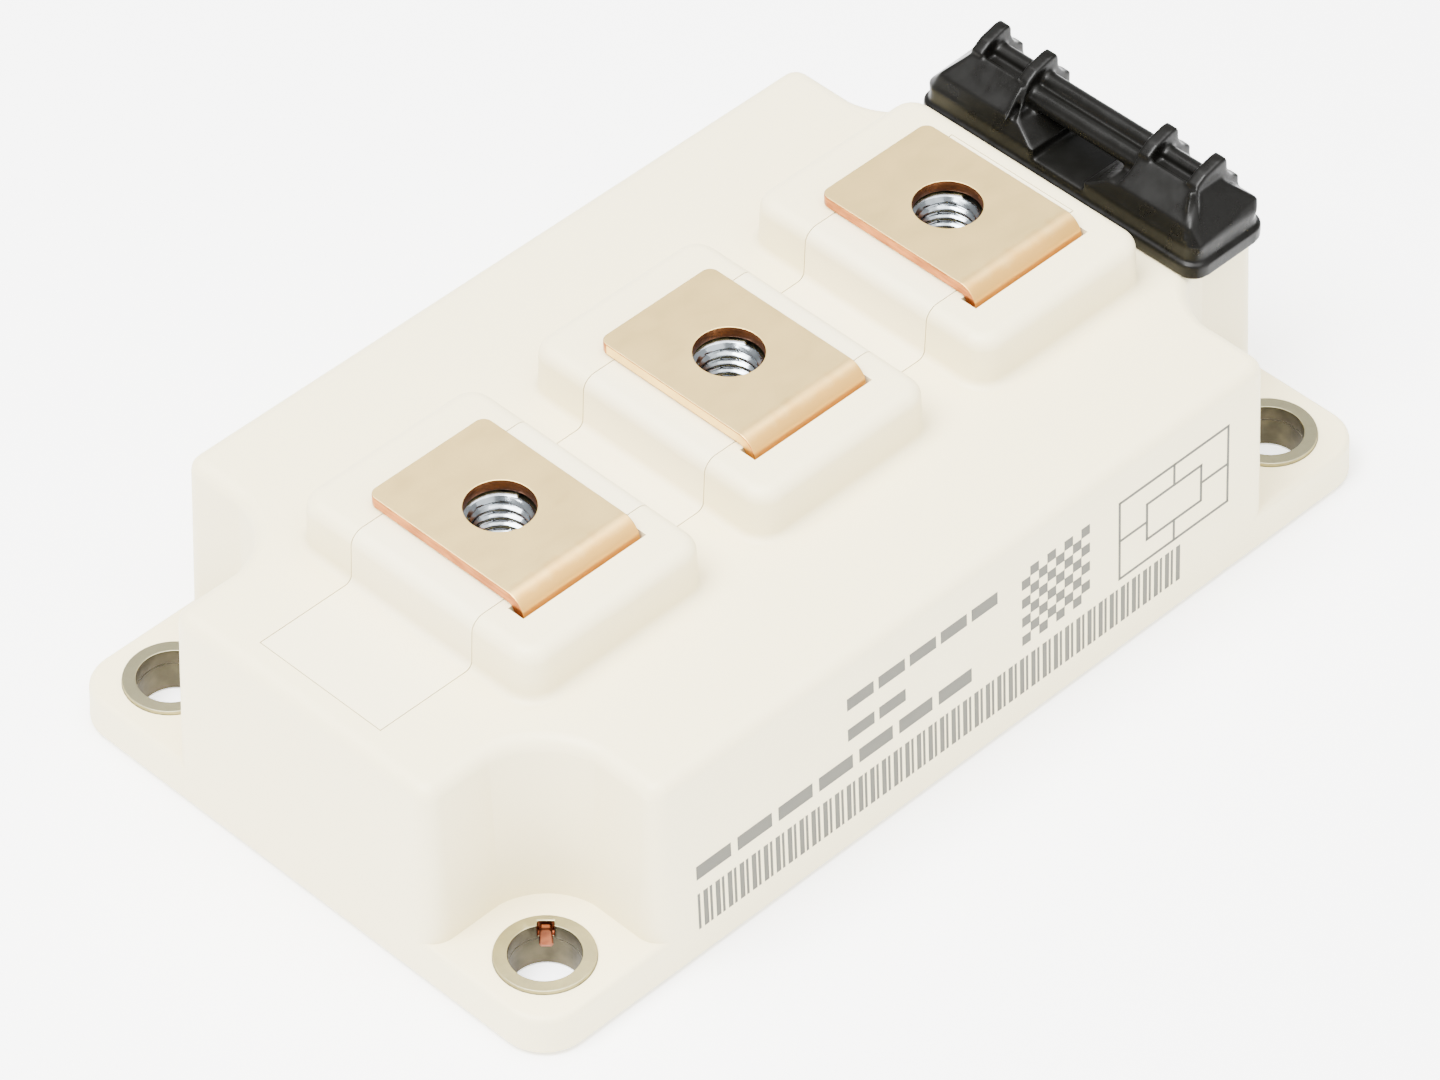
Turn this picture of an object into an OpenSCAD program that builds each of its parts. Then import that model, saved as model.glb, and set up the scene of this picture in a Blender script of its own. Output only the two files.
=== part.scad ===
// Half-bridge power transistor module in a 62 mm wide housing.
// Origin: middle of the base plate's underside. X runs along the length, with the
// control tabs at +X; Y runs across it; Z is up. All sizes are in millimetres.

/* [Outline] */
// Overall length of the module
length = 106.4; // [98:0.2:112]
// Overall width of the module
width = 61.4; // [58:0.2:66]
// Radius of the four corners, seen from above
corner_r = 4.4; // [2:0.1:5]
// Height of the flat shelf around the three terminal pedestals
shelf_z = 22.2; // [21:0.1:24]
// Height of the three terminal pedestals above the shelf
pedestal_h = 5.4; // [4.6:0.1:6.5]
// How far the walls lean in between the bottom and the shelf
draft = 0.9; // [0.1:0.1:1.5]

/* [Fixing holes] */
// Distance from each side of the module to the fixing holes' centres
hole_inset = 6.7; // [6.2:0.1:7.4]
// Diameter of the clear fixing holes
hole_d = 6.5; // [5.5:0.1:7]
// Wall of the steel bushing in each fixing hole
bushing_wall = 1.28; // [0.8:0.02:1.6]
// How far each bushing stands above the flange
bushing_proud = 0.4; // [0.1:0.1:0.8]
// Top of the flange that the fixing screws clamp
flange_z = 4.2; // [3.8:0.1:5]
// Distance from a fixing hole's centre to the upright walls of its corner notch
notch_reach = 7; // [6.5:0.1:8]
// Radius of the notch's upright wall around the screw head
notch_r = 6.6; // [5:0.1:7]

/* [Base plate] */
// Thickness of the copper base plate
base_t = 3; // [2.5:0.1:3.3]
// Width of the housing rim around the base plate
rim_w = 0.8; // [0.6:0.1:1.2]
// Height of the housing rim above the mounting surface
rim_lift = 0.3; // [0.1:0.1:0.6]

/* [Power terminals] */
// Distance between neighbouring terminals
terminal_pitch = 28; // [27:0.5:30]
// Width of a terminal's flat top, along the module
terminal_w = 14; // [12:0.5:16]
// Thickness of the terminal strip
terminal_t = 1.2; // [0.8:0.1:1.4]
// Height of the terminals' contact face
terminal_z = 29; // [28.8:0.1:30.5]
// Reach of the terminal from the screw axis to its free edge
terminal_free = 9.4; // [8:0.1:10]
// Gap between the nut carrier's side and the outer face of the terminals' legs
leg_gap = 2.65; // [2.6:0.05:3]
// Outside radius of the terminal's bend
bend_r = 2; // [1.6:0.1:2.4]
// Diameter of the screw hole in the terminal
terminal_hole_d = 6.5; // [6:0.1:7]
// Thread core diameter of the terminal nuts
nut_bore_d = 5; // [4:0.1:5.4]
// Width across the flats of the terminal nuts
nut_af = 10; // [8:0.5:11]
// Thickness of the terminal nuts
nut_t = 5; // [4:0.1:5]

/* [Pedestals] */
// Length of one pedestal at its foot, along the module
pedestal_l = 21.8; // [20:0.1:23]
// Width of the pedestals at their foot, across the module
pedestal_w = 30; // [27:0.2:31]
// Radius of the pedestals' upright corners
pedestal_r = 2.6; // [1.5:0.1:3.5]
// Radius of the rounded upper edges of the housing
edge_r = 1.4; // [0.6:0.1:1.5]
// Width of the nut carrier that lies across the pedestals
carrier_w = 15.1; // [13:0.1:15.6]
// Distance from the carrier's end to the end of the module
carrier_inset = 3.7; // [3.4:0.1:6]

/* [Control tabs] */
// Width of a control tab's blade
tab_w = 2.8; // [2:0.1:3.2]
// Thickness of a control tab's blade
tab_t = 0.5; // [0.4:0.1:0.8]
// Height of the tabs above the shelf
tab_h = 5; // [4:0.1:5.2]
// Distance between the two tabs of a pair
tab_pitch = 6; // [5:0.5:7]
// Distance between the two pairs, inner tab to inner tab
tab_gap = 15; // [13:0.5:15]
// Distance from the tabs to the end of the module
tab_inset = 6.2; // [6:0.1:6.6]
// Sideways place of the middle of the tabs' row
tab_shift = -0.8; // [-1:0.1:1]

/* [Shorting cap] */
// Length of the cap's skirt, across the module
cap_l = 35.2; // [34:0.1:36]
// Width of the cap's skirt, along the module
cap_w = 10.2; // [9.5:0.1:10.4]
// Height of the cap's roof above the shelf
cap_h = 7; // [6.9:0.1:7.4]
// Height of the grip fins above the cap's roof
fin_h = 1.6; // [1:0.1:2]

/* [Circuit] */
// Gap between the two substrates
substrate_gap = 2.4; // [2:0.1:3]
// Thickness of the ceramic tile
ceramic_t = 0.7; // [0.4:0.1:1]
// Thickness of the copper on each face of the tile
copper_t = 0.3; // [0.2:0.05:0.4]
// Thickness of the chips
chip_t = 0.4; // [0.2:0.05:0.5]
// Diameter of a bond wire
wire_d = 0.4; // [0.3:0.05:0.5]
// Bond wires side by side on each chip
wire_count = 4; // [2:1:5]
// Height of the silicone gel's surface
gel_z = 11; // [10.8:0.1:11.4]

/* [Hidden] */

$fn = 48;
eps = 0.01;
fit = 0.1;               // clearance of pieces that drop into a pocket
press = 0.05;            // clearance of pieces that are pushed home
wall = 1.8;              // housing wall
top_wall = 2;            // housing wall under the shelf

half_l = length / 2;
half_w = width / 2;
tab_x = half_l - tab_inset;
hole_x = half_l - hole_inset;
hole_y = half_w - hole_inset;
bushing_r = hole_d / 2 + bushing_wall;
bushing_z = flange_z + bushing_proud;
pedestal_z = shelf_z + pedestal_h;
notch_edge_r = draft + edge_r + 0.2;  // upright outer corners of the notches, at their foot
flange_edge_r = 0.6;     // upper edge of the flange
foot_r = 0.8;            // hollow blend at the foot of a pedestal
pedestal_draft = 0.3;    // lean of a pedestal's walls

nut_z = pedestal_z - 0.1 - nut_t;          // underside of the nuts
screw_room = 6.4;                          // free depth for a screw's end below a nut
carrier_z = nut_z - screw_room;            // underside of the nut carrier
trough_t = 1.2;                            // floor and sides of the trough that holds it
trough_z = carrier_z - trough_t;
terminal_bend = carrier_w / 2 + leg_gap;   // from the screw axis to the outside of the bend
carrier_x0 = carrier_inset - half_l;
carrier_x1 = terminal_pitch + pedestal_l / 2 - 2.4;
core_gap = 1.8;                            // wall left around the hollow of a pedestal
slot_fit = 0.35;                           // play of a terminal's leg in its slot

copper_z = base_t + 2 * copper_t + ceramic_t;   // top of the copper tracks
chip_z = copper_z + chip_t;                     // top of the chips
cavity_x = hole_x - notch_reach - wall;         // half length of the main cavity
cavity_y = half_w - draft - wall;
bay_x = half_l - draft - wall;              // half length of the bays between the notches
bay_y = hole_y - notch_reach - wall;
cavity_z = shelf_z - top_wall;
substrate_play = 2.5;                           // from a substrate to the housing's walls
substrate_l = cavity_x - substrate_play - substrate_gap / 2;
substrate_w = 2 * (cavity_y - 2 * substrate_play);
substrate_x = (substrate_l + substrate_gap) / 2;  // middle of a substrate

// ---- helpers -------------------------------------------------------------

// Section beside an upright corner's axis: a leaning wall of radius r at its foot, rounded by
// re at the top, with a hollow blend of radius foot at height foot_at where foot is not 0
module edge_section(r, h, lean, re, foot = 0, foot_at = 0) {
    a = atan(lean / h);
    cx = r - (h - re + re * sin(a)) * tan(a) - re * cos(a);
    polygon([[0, 0], [r, 0], [cx + re * cos(a), h - re + re * sin(a)], [cx, h], [0, h]]);
    translate([cx, h - re]) intersection() {
        circle(re);
        square(re + 1);
    }
    if (foot > 0) {
        tz = foot_at + foot * (1 - sin(a));
        tx = r - tz * tan(a);
        difference() {
            translate([tx - 0.4, 0]) square([0.4 + foot * cos(a), tz]);
            translate([tx + foot * cos(a), foot_at + foot]) circle(foot);
        }
    }
}

// Block with leaning walls, upright corners of radius r and a rounded upper edge
module soft_block(hx, hy, h, r, lean, re, foot = 0, foot_at = 0) {
    bar(hx, hy - r, h, r, lean, re, foot, foot_at);
    rotate(90) bar(hy, hx - r, h, r, lean, re, foot, foot_at);
    for (q = [0:3]) let (t = q % 2 == 0 ? [hx - r, hy - r] : [hy - r, hx - r])
        rotate(90 * q) translate([t.x, t.y]) rotate_extrude(angle = 90)
            edge_section(r, h, lean, re, foot, foot_at);
}

// Straight run of the block's section, hx wide to each side and hy long to each side
module bar(hx, hy, h, r, lean, re, foot, foot_at) {
    translate([0, hy, 0]) rotate([90, 0, 0]) linear_extrude(2 * hy) {
        for (m = [0, 1]) mirror([m, 0]) translate([hx - r, 0])
            edge_section(r, h, lean, re, foot, foot_at);
        translate([r - hx - eps, 0]) square([2 * (hx - r + eps), h]);
    }
}

// Rounded rectangle drawn with true arcs
module plate_2d(l, w, r) {
    square([l - 2 * r, w], center = true);
    square([l, w - 2 * r], center = true);
    for (x = [-1, 1], y = [-1, 1]) translate([x * (l / 2 - r), y * (w / 2 - r)]) circle(r);
}

// Box from one corner to the other
module block(a, b) {
    translate(a) cube(b - a);
}

module at_holes() {
    for (x = [-1, 1], y = [-1, 1]) translate([x * hole_x, y * hole_y]) children();
}

module at_terminals() {
    for (i = [-1:1]) translate([i * terminal_pitch, 0, 0]) children();
}

// ---- base plate ----------------------------------------------------------

module base_plate() {
    color("#d3cfc4") difference() {
        linear_extrude(base_t) plate_2d(length - 2 * rim_w, width - 2 * rim_w, corner_r - rim_w);
        at_holes() translate([0, 0, -1]) cylinder(d = hole_d, h = base_t + 2);
    }
}

// ---- housing -------------------------------------------------------------

// Walls lean by the same amount for each millimetre everywhere, so they stay flush
body_h = shelf_z - rim_lift;
flange_h = flange_z - rim_lift;
notch_x = hole_x - notch_reach;
notch_y = hole_y - notch_reach;

// Fills the inner corner of a notch around the screw head. The arc runs just into both walls,
// and its upper edge is rounded like theirs.
module notch_fill() {
    r = notch_r + 0.08;
    a = atan(draft / body_h);
    cx = r + (body_h - edge_r + edge_r * sin(a)) * tan(a) + edge_r * cos(a);
    end = [notch_x + notch_r, notch_y + notch_r, 0];
    difference() {
        block([notch_x - 3, notch_y - 3, rim_lift + 1], end + [-0.4, -0.4, shelf_z - eps]);
        translate(end + [0, 0, rim_lift]) {
            cylinder(r1 = r, r2 = r + draft, h = body_h);
            rotate_extrude() difference() {
                translate([r - 1, body_h - edge_r * (1 - sin(a))]) square([cx - r + 1, edge_r + 1]);
                translate([cx, body_h - edge_r]) circle(edge_r);
            }
        }
    }
}

module pedestal() {
    translate([0, 0, shelf_z - 1])
        soft_block(pedestal_l / 2, pedestal_w / 2, pedestal_h + 1, pedestal_r, pedestal_draft,
                   edge_r, foot_r, 1);
}

module housing_skin() {
    translate([0, 0, rim_lift]) {
        soft_block(half_l, notch_y, body_h, notch_edge_r, draft, edge_r);
        soft_block(notch_x, half_w, body_h, notch_edge_r, draft, edge_r);
        soft_block(half_l, half_w, flange_h, corner_r, draft * flange_h / body_h, flange_edge_r);
    }
    for (x = [-1, 1], y = [-1, 1]) scale([x, y, 1]) notch_fill();
    at_terminals() pedestal();
}

// Hollow under the shelf, with a trough left in it for the nut carrier
module cavity() {
    difference() {
        union() {
            block([-cavity_x, -cavity_y, base_t], [cavity_x, cavity_y, cavity_z]);
            block([-bay_x, -bay_y, base_t], [bay_x, bay_y, cavity_z]);
        }
        block([-bay_x - 1, -carrier_w / 2 - fit - trough_t, trough_z],
              [carrier_x1 + fit + trough_t, carrier_w / 2 + fit + trough_t, cavity_z + 1]);
    }
    at_terminals() for (side = [-1, 1]) pedestal_core(side);
}

// Hollow in a pedestal beside the trough, where the terminal's leg comes down
module pedestal_core(side) {
    near = carrier_w / 2 + fit + trough_t;
    far = pedestal_w / 2 - core_gap;
    half = pedestal_l / 2 - core_gap;
    scale([1, side, 1])
        block([-half, near, cavity_z - 1], [half, far, pedestal_z - core_gap]);
}

module terminal_slot() {
    half = terminal_w / 2 + slot_fit;
    block([-half, -terminal_bend - slot_fit, pedestal_z - core_gap - 1],
          [half, -terminal_bend + terminal_t + slot_fit, pedestal_z + 1]);
}

module tab_slots() {
    for (y = tab_places()) translate([tab_x, y, 0])
        block([-tab_t / 2 - fit, -tab_w / 2 - fit, cavity_z - 1],
              [tab_t / 2 + fit, tab_w / 2 + fit, shelf_z + 1]);
}

module housing() {
    color("#ebe8de") difference() {
        housing_skin();
        cavity();
        // recess for the base plate
        translate([0, 0, -1]) linear_extrude(base_t + 1)
            plate_2d(length - 2 * rim_w + 2 * press, width - 2 * rim_w + 2 * press,
                     corner_r - rim_w + press);
        // channel for the nut carrier, open at the top
        block([carrier_x0 - fit, -carrier_w / 2 - fit, carrier_z],
              [carrier_x1 + fit, carrier_w / 2 + fit, pedestal_z + 1]);
        at_terminals() terminal_slot();
        tab_slots();
        at_holes() translate([0, 0, 1]) cylinder(r = bushing_r + press, h = flange_z);
    }
}

// ---- fixing bushings -----------------------------------------------------

crimp_w = 1.5;           // width of the crimp mark in a bushing's rim
crimp_h = 1.3;           // depth of the crimp mark below the rim

// Sleeve with a crimp mark cut into its inner edge, towards the module's middle
module bushing(x, y) {
    mark_x = hole_d / 2 + bushing_wall * 0.45;
    translate([x * hole_x, y * hole_y, 0]) difference() {
        translate([0, 0, base_t]) cylinder(r = bushing_r, h = bushing_z - base_t);
        translate([0, 0, base_t - 1]) cylinder(d = hole_d, h = bushing_z - base_t + 2);
        rotate(atan2(-y, -x)) block([0, -crimp_w / 2, bushing_z - crimp_h],
                                    [mark_x, crimp_w / 2, bushing_z + 1]);
    }
}

module mounting_bushings() {
    color("#c8c3ae") for (x = [-1, 1], y = [-1, 1]) bushing(x, y);
}

// ---- nut carrier and nuts ------------------------------------------------

module nut_pocket() {
    translate([0, 0, nut_z]) rotate(30)
        cylinder(d = (nut_af + 2 * fit) / cos(30), h = nut_t + 1, $fn = 6);
    translate([0, 0, carrier_z - 1])
        cylinder(d = terminal_hole_d, h = screw_room + 2);
}

module nut_carrier() {
    color("#efece4") difference() {
        union() {
            block([carrier_x0, -carrier_w / 2, carrier_z], [carrier_x1, carrier_w / 2, shelf_z]);
            intersection() {
                at_terminals() pedestal();
                block([carrier_x0, -carrier_w / 2, shelf_z - 1],
                      [carrier_x1, carrier_w / 2, pedestal_z + 1]);
            }
        }
        at_terminals() nut_pocket();
    }
}

module terminal_nuts() {
    chamfer = 0.4;
    color("#c9ced2") at_terminals() translate([0, 0, nut_z]) difference() {
        intersection() {
            rotate(30) cylinder(d = nut_af / cos(30), h = nut_t, $fn = 6);
            // chamfered corners at the top and the bottom
            rotate_extrude() polygon([
                [0, 0], [nut_af / 2, 0], [nut_af / 2 + 2 * chamfer, chamfer * 1.2],
                [nut_af / 2 + 2 * chamfer, nut_t - chamfer * 1.2], [nut_af / 2, nut_t], [0, nut_t]]);
        }
        translate([0, 0, -1]) cylinder(d = nut_bore_d, h = nut_t + 2);
        translate([0, 0, nut_t - chamfer])
            cylinder(d1 = nut_bore_d, d2 = nut_bore_d + 2 * chamfer + 2 * eps, h = chamfer + eps);
    }
}

// ---- power terminals -----------------------------------------------------

foot_l = 4;              // length of a terminal's soldered foot
leg_w = 4.5;             // width of a terminal's leg inside the housing
leg_shift = 1.3;         // from the screw axis to the legs of the outer terminals
free_r = 1;              // corners of a terminal's free edge

// Side view of a terminal, with Y to the right: flat top, bend, leg and foot
module terminal_side() {
    t = terminal_t;
    ri = bend_r - t;
    leg = -terminal_bend;
    translate([leg + bend_r, terminal_z - t]) square([terminal_free + terminal_bend - bend_r, t]);
    translate([leg + bend_r, terminal_z - bend_r]) bend_2d(bend_r, ri, 90);
    translate([leg, copper_z + bend_r]) square([t, terminal_z - copper_z - 2 * bend_r]);
    translate([leg + t - bend_r, copper_z + bend_r]) bend_2d(bend_r, ri, 270);
    translate([leg + t - bend_r - foot_l, copper_z]) square([foot_l, t]);
}

// Quarter ring whose quadrant starts at angle a
module bend_2d(ro, ri, a) {
    rotate(a) intersection() {
        difference() {
            circle(ro);
            circle(ri);
        }
        square(ro);
    }
}

// Strip of width w whose middle is at x, kept between the heights z0 and z1
module strip(x, w, z0, z1) {
    translate([x - w / 2, 0, 0]) rotate([90, 0, 90]) linear_extrude(w) intersection() {
        terminal_side();
        translate([-half_w, z0]) square([2 * half_w, z1 - z0]);
    }
}

// leg_x is the middle of the narrow leg, measured from the screw axis
module terminal(leg_x) {
    neck_z = pedestal_z - core_gap - 1;
    strip(leg_x, leg_w, 0, neck_z);
    difference() {
        strip(0, terminal_w, neck_z, terminal_z + 1);
        translate([0, 0, terminal_z - terminal_t - 1])
            cylinder(d = terminal_hole_d, h = terminal_t + 2);
        for (s = [-1, 1]) translate([s * (terminal_w / 2 - free_r), terminal_free - free_r, 0])
            difference() {
                block([s < 0 ? -free_r - 1 : 0, 0, terminal_z - terminal_t - 1],
                      [s < 0 ? 0 : free_r + 1, free_r + 1, terminal_z + 1]);
                cylinder(r = free_r, h = 2 * terminal_z, $fn = 32);
            }
    }
}

// The legs stand over the tracks that they feed
module terminal_phase() {
    color("#d9bf95") translate([-terminal_pitch, 0, 0]) terminal(-leg_shift);
}

module terminal_negative() {
    color("#d9bf95") terminal(-terminal_w / 2 + leg_w / 2);
}

module terminal_positive() {
    color("#d9bf95") translate([terminal_pitch, 0, 0]) terminal(leg_shift);
}

// ---- control tabs --------------------------------------------------------

lead_w = 1.5;            // width of a tab's lead inside the housing
lead_z = gel_z + 0.5;    // height of the lead's level run
pad_w = 1.8;             // width of the solder pad for a lead
lead_x = substrate_x + substrate_l / 2 - 1.6;

function tab_places() = [
    for (y = [tab_gap / 2 + tab_pitch, tab_gap / 2, -tab_gap / 2, -tab_gap / 2 - tab_pitch])
        y + tab_shift];

// Blade above the shelf, lead down through the shelf and across to the substrate's pad
module control_tab(y) {
    tip = 0.5;
    t = tab_t;
    translate([tab_x, y, 0]) {
        translate([-t / 2, 0, 0]) rotate([90, 0, 90]) linear_extrude(t) polygon([
            [-tab_w / 2, cavity_z], [tab_w / 2, cavity_z], [tab_w / 2, shelf_z + tab_h - tip],
            [tab_w / 2 - tip, shelf_z + tab_h], [tip - tab_w / 2, shelf_z + tab_h],
            [-tab_w / 2, shelf_z + tab_h - tip]]);
        block([-t / 2, -lead_w / 2, lead_z], [t / 2, lead_w / 2, cavity_z]);
        block([lead_x - tab_x, -lead_w / 2, lead_z], [t / 2, lead_w / 2, lead_z + t]);
        block([lead_x - tab_x, -lead_w / 2, copper_z], [lead_x - tab_x + t, lead_w / 2, lead_z]);
    }
}

module gate_tab_high() {
    color("#d8d2bd") control_tab(tab_places()[0]);
}

module emitter_tab_high() {
    color("#d8d2bd") control_tab(tab_places()[1]);
}

module emitter_tab_low() {
    color("#d8d2bd") control_tab(tab_places()[2]);
}

module gate_tab_low() {
    color("#d8d2bd") control_tab(tab_places()[3]);
}

// ---- substrates ----------------------------------------------------------

track_gap = 0.7;         // bare ceramic between tracks
track_edge = 1;          // bare ceramic around the tracks
chip_gap = 0.5;          // between two chips, and from a chip to its track's end
foot_gap = 0.25;         // from a terminal's foot to the edge of its track
track_x0 = -substrate_l / 2 + track_edge;
track_x1 = substrate_l / 2 - track_edge;
main_x = track_x1 - pad_w - track_gap;
foot_x = terminal_pitch + leg_shift - substrate_x - leg_w / 2 - foot_gap - track_gap;
igbt_side = (main_x - track_x0) / 2 - 2.15;
diode_side = igbt_side - 3;
igbt_y = substrate_w / 2 - track_edge - igbt_side / 2 - chip_gap;
diode_y = igbt_y - (igbt_side + diode_side) / 2 - 2 * chip_gap;
emitter_y = diode_y - diode_side / 2 - 2 * chip_gap;     // upper edge of the emitter track
gate_y = -terminal_bend + terminal_t - bend_r - foot_l - 1;  // upper edge of the gate track

// Places side = 1 over the high side and its mirror image, side = -1, over the low side
module on_substrate(side) {
    scale([side, 1, 1]) translate([substrate_x, 0, 0]) children();
}

module ceramic(side) {
    color("#e9e6df") on_substrate(side) translate([0, 0, base_t + copper_t])
        translate([-substrate_l / 2, -substrate_w / 2, 0]) cube([substrate_l, substrate_w, ceramic_t]);
}

module back_copper(side) {
    l = substrate_l - 2 * track_edge;
    w = substrate_w - 2 * track_edge;
    color("#c98a5a") on_substrate(side) translate([-l / 2, -w / 2, base_t]) cube([l, w, copper_t]);
}

// Collector track with a leg beside the emitter track, emitter track, gate track and pads
module tracks(side) {
    x0 = track_x0;
    x1 = track_x1;
    y0 = -substrate_w / 2 + track_edge;
    y1 = substrate_w / 2 - track_edge;
    z0 = copper_z - copper_t;
    color("#c98a5a") on_substrate(side) {
        block([x0, emitter_y + track_gap, z0], [main_x, y1, copper_z]);
        block([foot_x + track_gap, gate_y + track_gap, z0], [main_x, emitter_y + track_gap, copper_z]);
        block([x0, gate_y + track_gap, z0], [foot_x, emitter_y, copper_z]);
        block([x0, y0, z0], [x1, gate_y, copper_z]);
        for (y = tab_places()) block([x1 - pad_w, y - lead_w / 2, z0], [x1, y + lead_w / 2, copper_z]);
    }
}

module substrate_low() ceramic(-1);
module substrate_high() ceramic(1);
module back_copper_low() back_copper(-1);
module back_copper_high() back_copper(1);
module tracks_low() tracks(-1);
module tracks_high() tracks(1);

// ---- chips and bond wires ------------------------------------------------

chip_1 = track_x0 + chip_gap + igbt_side / 2;
chip_places = [chip_1, chip_1 + igbt_side + chip_gap];   // middles along a substrate
wire_pitch = 1.9;            // distance between neighbouring wires on a chip

module chips(side, y, size) {
    on_substrate(side) for (x = chip_places) translate([x - size / 2, y - size / 2, copper_z])
        cube([size, size, chip_t]);
}

module igbt_chips_low() color("#5c6470") chips(-1, igbt_y, igbt_side);
module igbt_chips_high() color("#5c6470") chips(1, igbt_y, igbt_side);
module diode_chips_low() color("#747b84") chips(-1, diode_y, diode_side);
module diode_chips_high() color("#747b84") chips(1, diode_y, diode_side);

// Half loop of wire between two points, standing on a small pad at each end
module wire_loop(a, b) {
    d = b - a;
    span = norm([d.x, d.y]);
    loop_r = span / 2;
    pad = 1.2;
    base = max(a.z, b.z) + wire_d / 2;
    translate([(a.x + b.x) / 2, (a.y + b.y) / 2, base]) rotate(atan2(d.y, d.x)) rotate([90, 0, 0])
        rotate_extrude(angle = 180) translate([loop_r, 0]) circle(d = wire_d, $fn = 16);
    for (p = [a, b]) translate(p) rotate(atan2(d.y, d.x))
        translate([-pad / 2, -wire_d / 2, 0]) cube([pad, wire_d, base - p.z + eps]);
}

function wire_row(i) = (i - (wire_count - 1) / 2) * wire_pitch;

// Transistor to diode, then diode to emitter track
module bond_wires(side) {
    hop = 2.4;
    color("#d5d8da") on_substrate(side) for (x = chip_places, i = [0:wire_count - 1]) {
        seam = igbt_y - igbt_side / 2 - chip_gap;
        wire_loop([x + wire_row(i), seam + hop, chip_z], [x + wire_row(i), seam - hop, chip_z]);
        wire_loop([x + wire_row(i) * 0.9, diode_y - diode_side / 2 + 1, chip_z],
                  [x + wire_row(i) * 0.9, emitter_y - 1.2, copper_z]);
    }
}

module bond_wires_low() bond_wires(-1);
module bond_wires_high() bond_wires(1);

// From the high side's emitter track to the low side's collector track
module link_wires() {
    x = substrate_x + track_x0 + wire_pitch / 2;
    hop = track_gap + 3.5;
    color("#d5d8da") for (y = [emitter_y - 1, emitter_y - 1 - 0.8 * wire_pitch])
        wire_loop([x, y, copper_z], [-x, y + hop, copper_z]);
}

// ---- silicone gel --------------------------------------------------------

// Block over the whole circuit, hollow over the substrates, open where metal passes
module silicone_gel() {
    room_x = substrate_x + substrate_l / 2 + 0.6;
    room_y = substrate_w / 2 + 0.6;
    room_z = gel_z - 1;
    color([0.86, 0.88, 0.85, 0.45]) difference() {
        union() {
            block([-cavity_x + press, -cavity_y + press, base_t], [cavity_x - press, cavity_y - press, gel_z]);
            block([-bay_x + press, -bay_y + press, base_t], [bay_x - press, bay_y - press, gel_z]);
        }
        block([-room_x, -room_y, base_t - 1], [room_x, room_y, room_z]);
        for (x = [-terminal_pitch - leg_shift, (leg_w - terminal_w) / 2, terminal_pitch + leg_shift])
            block([x - leg_w / 2 - fit, -terminal_bend - fit, room_z - 1],
                  [x + leg_w / 2 + fit, -terminal_bend + terminal_t + fit, gel_z + 1]);
        for (y = tab_places())
            block([lead_x - fit, y - lead_w / 2 - fit, room_z - 1],
                  [lead_x + tab_t + fit, y + lead_w / 2 + fit, gel_z + 1]);
    }
}

// ---- shorting cap --------------------------------------------------------

cap_x = tab_x - 0.6;     // middle of the cap, which is offset from the blades
skirt_t = 1.6;           // height of the cap's skirt
skirt_step = 0.5;        // how far the skirt stands out
floor_z = 2.4;           // floor of the window between the humps
side_z = 3.4;            // top of the body's upright sides, below the humps
front_z = 5;             // lower edge of a hump's sloping front
shoulder_z = 4.4;        // edge of a hump's back
front_in = 0.7;          // from the body's front to the front edge of a hump
crest_x = -1.4;          // upper edge of a hump's front
crest_back = 1.6;        // where a hump's back starts to fall
fin_t = 1.4;             // thickness of a grip fin
rod_r = 0.85;            // radius of the rods between the fins
body_l = cap_l / 2 - skirt_step;             // half length of the body
body_w = cap_w / 2 - skirt_step;             // half width of the body
fin_in = tab_gap / 2;                        // inner fin, from the cap's middle
fin_out = tab_gap / 2 + tab_pitch;           // outer fin
ramp_l = 4.3;                                // length of the ramps beside the window
window = fin_in - ramp_l;                    // half length of the window
corner = 1.5;                                // radius of the body's upright corners

// Thin rod along Y, as the edge of a hull
module edge_rod(x, z, y0, y1, r) {
    translate([x - sign(x) * r, y1 - r, z - r]) rotate([90, 0, 0]) linear_extrude(y1 - y0 - 2 * r)
        circle(r, $fn = 12);
}

// One hump, over the pair of tabs on the +Y side
module hump() {
    hull() {
        for (m = [-1, 1]) {
            edge_rod(m * body_w, side_z, fin_in - 1.2, body_l - corner / 2, 0.3);
            edge_rod(m * (body_w - corner / 2), side_z, fin_in, body_l + 0.3, 0.3);
        }
        edge_rod(front_in - body_w, front_z, fin_in - 1, body_l - 1.1, 0.3);
        edge_rod(body_w - 0.2, shoulder_z, fin_in - 1, body_l - 0.2, 0.3);
        edge_rod(crest_x, cap_h, fin_in - fin_t / 2, fin_out + fin_t / 2, 0.3);
        edge_rod(crest_back, cap_h, fin_in - fin_t / 2, fin_out + fin_t / 2, 0.3);
    }
    // low ramp from the inner flank into the window
    hull() {
        edge_rod(-body_w, side_z, window, fin_in, 0.2);
        edge_rod(body_w - 1, side_z, window, fin_in, 0.2);
        edge_rod(front_in - body_w, front_z - 0.2, fin_in - 2, fin_in, 0.2);
        edge_rod(body_w - 1, front_z - 0.2, fin_in - 2, fin_in, 0.2);
    }
}

// Side view of a fin, with a hollow back; X to the right
module fin_side() {
    tip_x = crest_back + 1.1;
    tip_z = cap_h + fin_h;
    difference() {
        polygon([
            [crest_x - 0.5, side_z], [crest_x + 0.1, cap_h + 0.3], [crest_x + 1.3, tip_z - 0.5],
            [tip_x - 0.9, tip_z], [tip_x - 0.2, tip_z], [tip_x, tip_z - 0.2],
            [tip_x + 0.1, cap_h + 0.7], [body_w - 0.1, cap_h + 0.7], [body_w - 0.1, side_z]]);
        translate([tip_x + 2.6, cap_h + 0.8]) circle(2.5);
    }
}

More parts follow.
